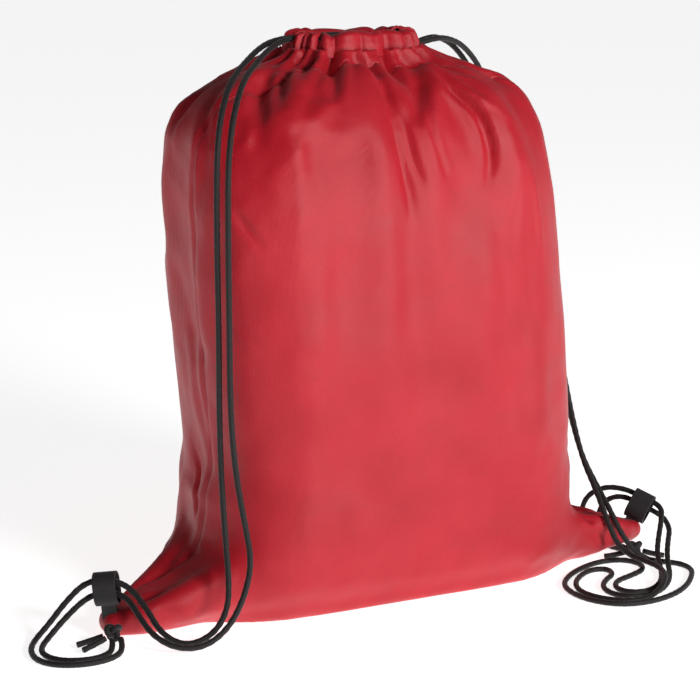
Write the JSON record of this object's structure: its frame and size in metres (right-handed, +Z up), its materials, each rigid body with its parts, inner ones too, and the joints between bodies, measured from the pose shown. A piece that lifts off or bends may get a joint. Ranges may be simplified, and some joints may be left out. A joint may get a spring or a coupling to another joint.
{
  "type": "drawstring backpack",
  "caption": "Stuffed drawstring backpack in thin woven polyester, with a gathered hem mouth, paired shoulder cords and webbing corner loops.",
  "frame": {"origin": "on the floor, under the middle of the bag without its cords", "axes": "+Z up, -Y out of the front panel, +X to the bag's right as seen from the front"},
  "size_m": [0.3923, 0.1779, 0.309],
  "materials": {
    "red_polyester": "satin",
    "red_thread": "matte",
    "black_thread": "matte",
    "black_webbing": "matte",
    "black_cord": "matte"
  },
  "bodies": {
    "root": {"front_panel": "red_polyester", "back_panel": "red_polyester", "front_casing": "red_polyester", "back_casing": "red_polyester", "side_seam_left": "red_polyester", "side_seam_right": "red_polyester", "bottom_seam": "red_polyester", "slit_hem_left": "red_polyester", "slit_hem_right": "red_polyester", "casing_stitching_front": "red_thread", "casing_stitching_back": "red_thread", "loop_tack_left": "black_thread", "loop_tack_right": "black_thread", "cord_left_casing_run": "black_cord", "cord_right_casing_run": "black_cord", "cord_left_outer_strand": "black_cord", "cord_left_inner_strand": "black_cord", "cord_right_outer_strand": "black_cord", "cord_right_inner_strand": "black_cord", "cord_left_knot": "black_cord", "cord_right_knot": "black_cord", "cord_left_tails": "black_cord", "cord_right_tails": "black_cord"},
    "left_loop": {"corner_loop_left": "black_webbing"},
    "right_loop": {"corner_loop_right": "black_webbing"}
  },
  "joints": [
    {"name": "left_loop_rock", "type": "hinge", "parent": "root", "child": "left_loop", "pos_m": [-0.16644, -0.02943, 0.0175], "axis": [-0.8396, 0.5298, -0.1199], "range_deg": [-8, 6]},
    {"name": "right_loop_rock", "type": "hinge", "parent": "root", "child": "right_loop", "pos_m": [0.16016, -0.02743, 0.019], "axis": [0.5955, -0.7204, -0.3554], "range_deg": [-5, 2.5]}
  ]
}
